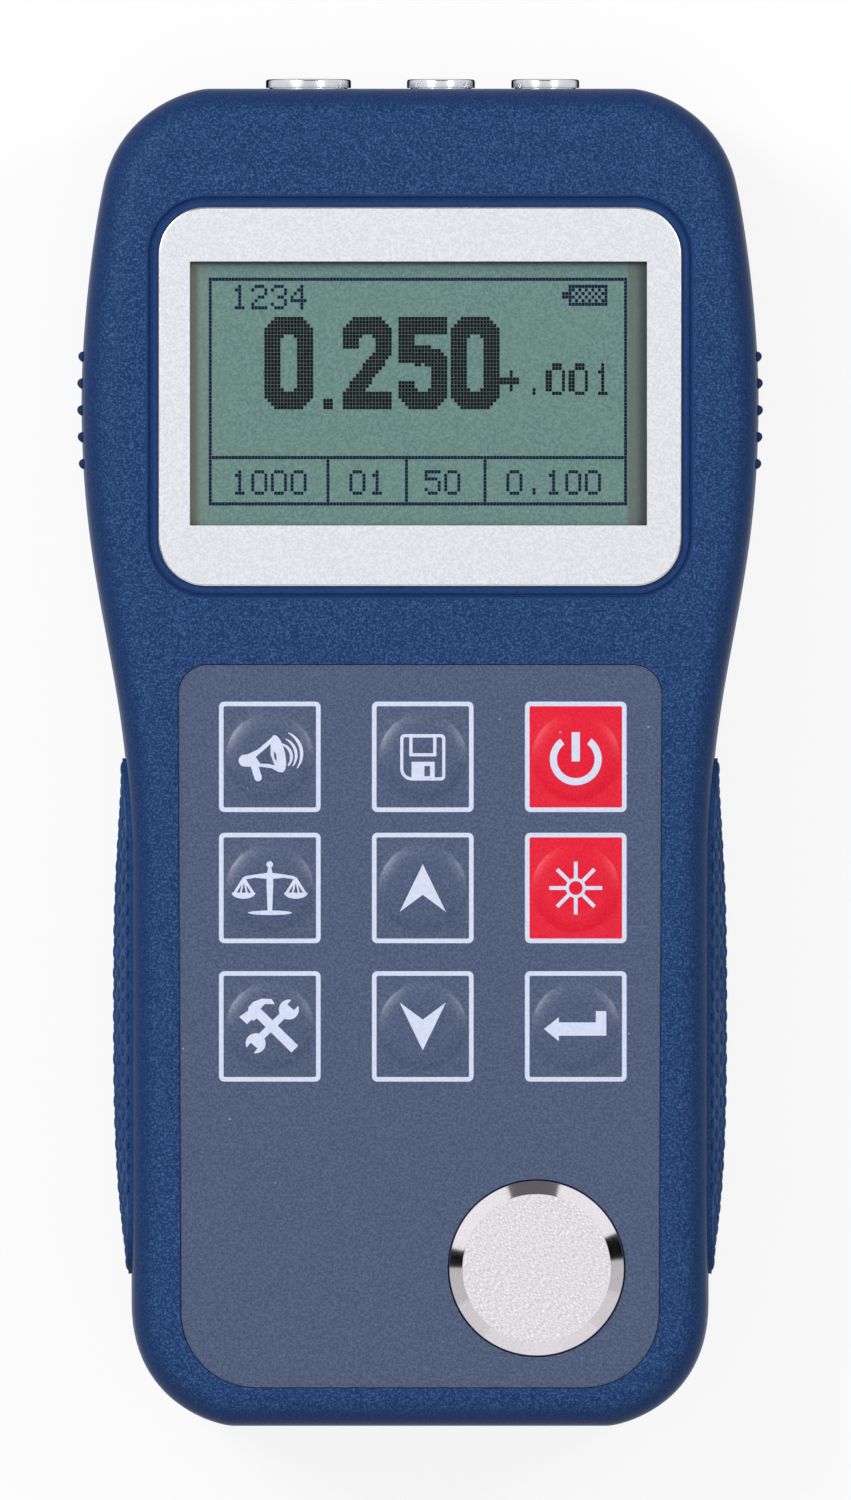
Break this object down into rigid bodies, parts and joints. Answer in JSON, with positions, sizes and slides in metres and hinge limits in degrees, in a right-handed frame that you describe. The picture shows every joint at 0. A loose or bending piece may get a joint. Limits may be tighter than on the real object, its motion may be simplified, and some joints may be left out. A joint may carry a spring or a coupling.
{
  "type": "ultrasonic thickness gauge",
  "caption": "Hand-held ultrasonic thickness gauge with a display, a film keypad, a steel zero disc, round sockets on its top edge and a sliding battery door.",
  "frame": {"origin": "middle of the overall outline on the back face, z = 0", "axes": "+Z out of the face, +Y from the foot to the sockets, +X to the right seen from the front"},
  "size_m": [0.0754, 0.1484, 0.032],
  "materials": {
    "blue_plastic": "fine-grained moulded plastic",
    "grip_rubber": "moulded soft grip with small raised dots",
    "satin_silver": "satin silver plate with thin bright edge",
    "clear_window": "clear window",
    "display_glass": "grey-green liquid crystal glass",
    "tinned_steel": "bright tin plate",
    "light_guide": "milky light block",
    "grey_film": "finely textured polycarbonate film",
    "key_film": "embossed film pillow",
    "red_film": "embossed red film pillow",
    "spacer_film": "adhesive spacer film",
    "dome_steel": "thin spring steel domes on film",
    "ground_steel": "ground face with polished bevel",
    "nickel_plate": "satin nickel plate",
    "insulator": "white insulator with a contact pin",
    "circuit_board": "solder mask",
    "black_plastic": "moulded black resin",
    "cell_wrap": "plain cell sleeve",
    "zinc_screw": "zinc plated steel"
  },
  "bodies": {
    "housing": {"front_shell": "blue_plastic", "rear_shell": "blue_plastic", "grip_left": "grip_rubber", "grip_right": "grip_rubber", "display_bezel": "satin_silver", "display_lens": "clear_window", "display_glass": "display_glass", "display_frame": "tinned_steel", "display_backlight": "light_guide", "keypad_overlay": "grey_film", "keypad_spacer": "spacer_film", "dome_sheet": "dome_steel", "keypad_tail": "spacer_film", "zero_disc": "ground_steel", "disc_retainer": "tinned_steel", "main_board": "circuit_board", "processor_chip": "black_plastic", "memory_chip": "black_plastic", "pulser_coil": "black_plastic", "buzzer": "black_plastic", "bridge_contact": "tinned_steel", "plus_contact": "tinned_steel", "minus_contact": "tinned_steel", "foot_spring": "tinned_steel", "top_spring": "tinned_steel", "battery_left": "cell_wrap", "battery_right": "cell_wrap", "data_socket": "nickel_plate", "data_socket_insert": "insulator", "data_socket_nut": "nickel_plate", "probe_socket_left": "nickel_plate", "probe_socket_left_insert": "insulator", "probe_socket_left_nut": "nickel_plate", "probe_socket_right": "nickel_plate", "probe_socket_right_insert": "insulator", "probe_socket_right_nut": "nickel_plate", "case_screw_1": "zinc_screw", "board_screw_1": "zinc_screw", "case_screw_2": "zinc_screw", "board_screw_2": "zinc_screw", "case_screw_3": "zinc_screw", "board_screw_3": "zinc_screw", "case_screw_4": "zinc_screw", "board_screw_4": "zinc_screw"},
    "key_alarm": {"key_alarm": "key_film"},
    "key_memory": {"key_memory": "key_film"},
    "key_power": {"key_power": "red_film"},
    "key_calibrate": {"key_calibrate": "key_film"},
    "key_up": {"key_up": "key_film"},
    "key_backlight": {"key_backlight": "red_film"},
    "key_setup": {"key_setup": "key_film"},
    "key_down": {"key_down": "key_film"},
    "key_enter": {"key_enter": "key_film"},
    "battery_door": {"battery_door": "blue_plastic"}
  },
  "joints": [
    {"name": "press_alarm", "type": "slide", "parent": "housing", "child": "key_alarm", "axis": [0, 0, -1], "range_m": [0, 0.0004], "stiffness_N_per_m": 1500},
    {"name": "press_memory", "type": "slide", "parent": "housing", "child": "key_memory", "axis": [0, 0, -1], "range_m": [0, 0.0004], "stiffness_N_per_m": 1500},
    {"name": "press_power", "type": "slide", "parent": "housing", "child": "key_power", "axis": [0, 0, -1], "range_m": [0, 0.0004], "stiffness_N_per_m": 1500},
    {"name": "press_calibrate", "type": "slide", "parent": "housing", "child": "key_calibrate", "axis": [0, 0, -1], "range_m": [0, 0.0004], "stiffness_N_per_m": 1500},
    {"name": "press_up", "type": "slide", "parent": "housing", "child": "key_up", "axis": [0, 0, -1], "range_m": [0, 0.0004], "stiffness_N_per_m": 1500},
    {"name": "press_backlight", "type": "slide", "parent": "housing", "child": "key_backlight", "axis": [0, 0, -1], "range_m": [0, 0.0004], "stiffness_N_per_m": 1500},
    {"name": "press_setup", "type": "slide", "parent": "housing", "child": "key_setup", "axis": [0, 0, -1], "range_m": [0, 0.0004], "stiffness_N_per_m": 1500},
    {"name": "press_down", "type": "slide", "parent": "housing", "child": "key_down", "axis": [0, 0, -1], "range_m": [0, 0.0004], "stiffness_N_per_m": 1500},
    {"name": "press_enter", "type": "slide", "parent": "housing", "child": "key_enter", "axis": [0, 0, -1], "range_m": [0, 0.0004], "stiffness_N_per_m": 1500},
    {"name": "door_slide", "type": "slide", "parent": "housing", "child": "battery_door", "axis": [0, -1, 0], "range_m": [0, 0.066]}
  ]
}
